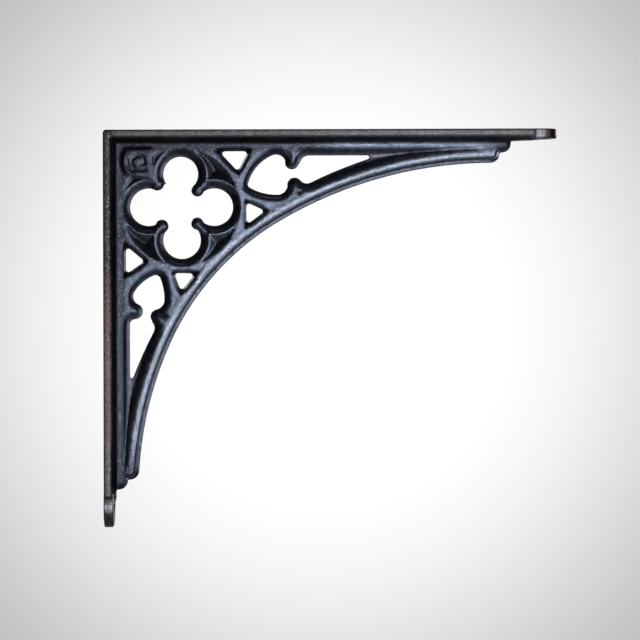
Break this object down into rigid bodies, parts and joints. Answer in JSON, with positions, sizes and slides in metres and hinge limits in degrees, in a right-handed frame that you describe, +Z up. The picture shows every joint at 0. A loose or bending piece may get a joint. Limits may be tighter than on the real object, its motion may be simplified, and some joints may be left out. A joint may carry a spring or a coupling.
{
  "type": "cast iron shelf bracket",
  "caption": "Cast iron shelf bracket: two arms at a right angle with a pierced quatrefoil and mouchette tracery web over a three-centred arch, and a round screw lobe at the end of each arm.",
  "frame": {"origin": "on the flat back face of the wall arm, on its centre line and half way down its height", "axes": "+X out from the wall along the shelf arm, +Z up, +Y across the bracket's thickness; the part is mirror-symmetric in Y"},
  "size_m": [0.2032, 0.018, 0.1778],
  "materials": {
    "cast_iron": "dark gunmetal sand casting, satin with brighter rubbed edges and a little brown rust on the wall arm"
  },
  "bodies": {
    "root": {"bracket_casting": "cast_iron"}
  },
  "joints": []
}
